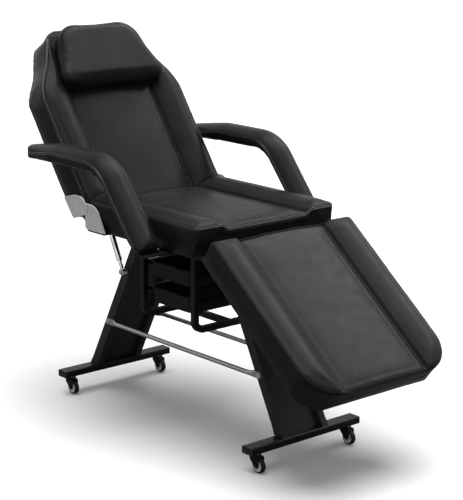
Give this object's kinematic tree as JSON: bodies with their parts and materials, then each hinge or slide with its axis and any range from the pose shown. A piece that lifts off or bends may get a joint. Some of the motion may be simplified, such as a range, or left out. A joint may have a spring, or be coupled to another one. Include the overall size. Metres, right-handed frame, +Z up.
{
  "type": "tattoo chair",
  "caption": "Upholstered tattoo client chair with reclining back, folding leg rest, arm pads and head pillow on a tube frame with swivel casters and sliding trays.",
  "frame": {"origin": "on the floor under the middle of the base, halfway between the foot bars", "axes": "+Z up, -Y towards the leg rest, +X towards the client's left hand"},
  "size_m": [0.83, 1.6338, 1.329],
  "materials": {
    "upholstery": "black faux leather, soft sheen",
    "boards": "plywood",
    "frame_black": "satin black powder coat",
    "crossbar_grey": "silver grey satin paint",
    "bolts": "zinc plated",
    "stay_chrome": "polished",
    "plastic_black": "satin black moulding",
    "cover_grey": "light grey fine speckle",
    "caster_yoke": "black",
    "caster_rubber": "black rubber",
    "caster_hub_white": "silver white"
  },
  "bodies": {
    "chair_frame": {"seat_cushion": "upholstery", "arm_pad_left": "upholstery", "arm_pad_right": "upholstery", "seat_board": "boards", "arm_core_left": "boards", "arm_core_right": "boards", "foot_bar_front": "frame_black", "foot_bar_rear": "frame_black", "leg_front": "frame_black", "leg_rear": "frame_black", "seat_rails": "frame_black", "seat_cross_tubes": "frame_black", "arm_brackets": "frame_black", "hanger_front": "frame_black", "hanger_rear": "frame_black", "hanger_beam": "frame_black", "tray_runners": "frame_black", "seat_hinge_plates": "frame_black", "knee_lugs": "frame_black", "crossbar_right": "crossbar_grey", "crossbar_left": "crossbar_grey", "crossbar_bolts": "bolts", "stay_pins": "bolts", "hinge_pins": "bolts", "caster_stems": "bolts", "foot_bar_caps": "plastic_black", "seat_hinge_covers": "cover_grey"},
    "reclining_back": {"back_board": "boards", "back_cushion": "upholstery", "headrest_pillow": "upholstery", "back_rails": "frame_black", "back_cross_tubes": "frame_black", "back_hinge_arms": "frame_black", "back_hinge_covers": "cover_grey", "back_stay_clevis": "frame_black"},
    "leg_rest": {"rest_board": "boards", "rest_cushion": "upholstery", "rest_rails": "frame_black", "rest_cross_tubes": "frame_black", "rest_stay_clevis": "frame_black"},
    "back_stay_tube": {"back_stay_tube": "stay_chrome"},
    "back_stay_rod": {"back_stay_rod": "stay_chrome"},
    "rest_stay_tube": {"rest_stay_tube": "stay_chrome"},
    "rest_stay_rod": {"rest_stay_rod": "stay_chrome"},
    "tray_upper": {"tray_upper": "plastic_black"},
    "tray_lower": {"tray_lower": "plastic_black"},
    "caster_yoke_rear_right": {"caster_fork_rear_right": "caster_yoke"},
    "caster_wheel_rear_right": {"caster_tyre_rear_right": "caster_rubber", "caster_hub_rear_right": "caster_hub_white"},
    "caster_yoke_rear_left": {"caster_fork_rear_left": "caster_yoke"},
    "caster_wheel_rear_left": {"caster_tyre_rear_left": "caster_rubber", "caster_hub_rear_left": "caster_hub_white"},
    "caster_yoke_front_right": {"caster_fork_front_right": "caster_yoke"},
    "caster_wheel_front_right": {"caster_tyre_front_right": "caster_rubber", "caster_hub_front_right": "caster_hub_white"},
    "caster_yoke_front_left": {"caster_fork_front_left": "caster_yoke"},
    "caster_wheel_front_left": {"caster_tyre_front_left": "caster_rubber", "caster_hub_front_left": "caster_hub_white"}
  },
  "joints": [
    {"name": "back_recline", "type": "hinge", "parent": "chair_frame", "child": "reclining_back", "pos_m": [0, 0.281, 0.75], "axis": [1, 0, 0], "range_deg": [-54, 16]},
    {"name": "leg_rest_tilt", "type": "hinge", "parent": "chair_frame", "child": "leg_rest", "pos_m": [0, -0.327, 0.67], "axis": [1, 0, 0], "range_deg": [-38.5, 22]},
    {"name": "back_stay_swing", "type": "hinge", "parent": "chair_frame", "child": "back_stay_tube", "pos_m": [-0.117, 0.3, 0.485], "axis": [1, 0, 0], "range_deg": [-27, 8]},
    {"name": "back_stay_head", "type": "hinge", "parent": "reclining_back", "child": "back_stay_rod", "pos_m": [-0.117, 0.50486, 0.89309], "axis": [1, 0, 0], "range_deg": [-8, 27]},
    {"name": "rest_stay_swing", "type": "hinge", "parent": "chair_frame", "child": "rest_stay_tube", "pos_m": [0.117, -0.231, 0.62], "axis": [1, 0, 0], "range_deg": [-19.25, 11]},
    {"name": "rest_stay_head", "type": "hinge", "parent": "leg_rest", "child": "rest_stay_rod", "pos_m": [0.117, -0.40851, 0.59878], "axis": [1, 0, 0], "range_deg": [-11, 19.25]},
    {"name": "tray_upper_slide", "type": "slide", "parent": "chair_frame", "child": "tray_upper", "axis": [-1, 0, 0], "range_m": [0, 0.24]},
    {"name": "tray_lower_slide", "type": "slide", "parent": "chair_frame", "child": "tray_lower", "axis": [-1, 0, 0], "range_m": [0, 0.24]},
    {"name": "swivel_rear_right", "type": "hinge", "parent": "chair_frame", "child": "caster_yoke_rear_right", "pos_m": [-0.202, 0.509, 0.06], "axis": [0, 0, 1], "continuous": true},
    {"name": "roll_rear_right", "type": "hinge", "parent": "caster_yoke_rear_right", "child": "caster_wheel_rear_right", "pos_m": [-0.202, 0.494, 0.025], "axis": [1, 0, 0], "continuous": true},
    {"name": "swivel_rear_left", "type": "hinge", "parent": "chair_frame", "child": "caster_yoke_rear_left", "pos_m": [0.202, 0.509, 0.06], "axis": [0, 0, 1], "continuous": true},
    {"name": "roll_rear_left", "type": "hinge", "parent": "caster_yoke_rear_left", "child": "caster_wheel_rear_left", "pos_m": [0.202, 0.494, 0.025], "axis": [1, 0, 0], "continuous": true},
    {"name": "swivel_front_right", "type": "hinge", "parent": "chair_frame", "child": "caster_yoke_front_right", "pos_m": [-0.202, -0.509, 0.06], "axis": [0, 0, 1], "continuous": true},
    {"name": "roll_front_right", "type": "hinge", "parent": "caster_yoke_front_right", "child": "caster_wheel_front_right", "pos_m": [-0.202, -0.524, 0.025], "axis": [1, 0, 0], "continuous": true},
    {"name": "swivel_front_left", "type": "hinge", "parent": "chair_frame", "child": "caster_yoke_front_left", "pos_m": [0.202, -0.509, 0.06], "axis": [0, 0, 1], "continuous": true},
    {"name": "roll_front_left", "type": "hinge", "parent": "caster_yoke_front_left", "child": "caster_wheel_front_left", "pos_m": [0.202, -0.524, 0.025], "axis": [1, 0, 0], "continuous": true}
  ],
  "couplings": [
    {"joint": "back_stay_swing", "follows": "back_recline", "ratio": 0.5},
    {"joint": "back_stay_head", "follows": "back_recline", "ratio": -0.5},
    {"joint": "rest_stay_swing", "follows": "leg_rest_tilt", "ratio": 0.5},
    {"joint": "rest_stay_head", "follows": "leg_rest_tilt", "ratio": -0.5}
  ]
}
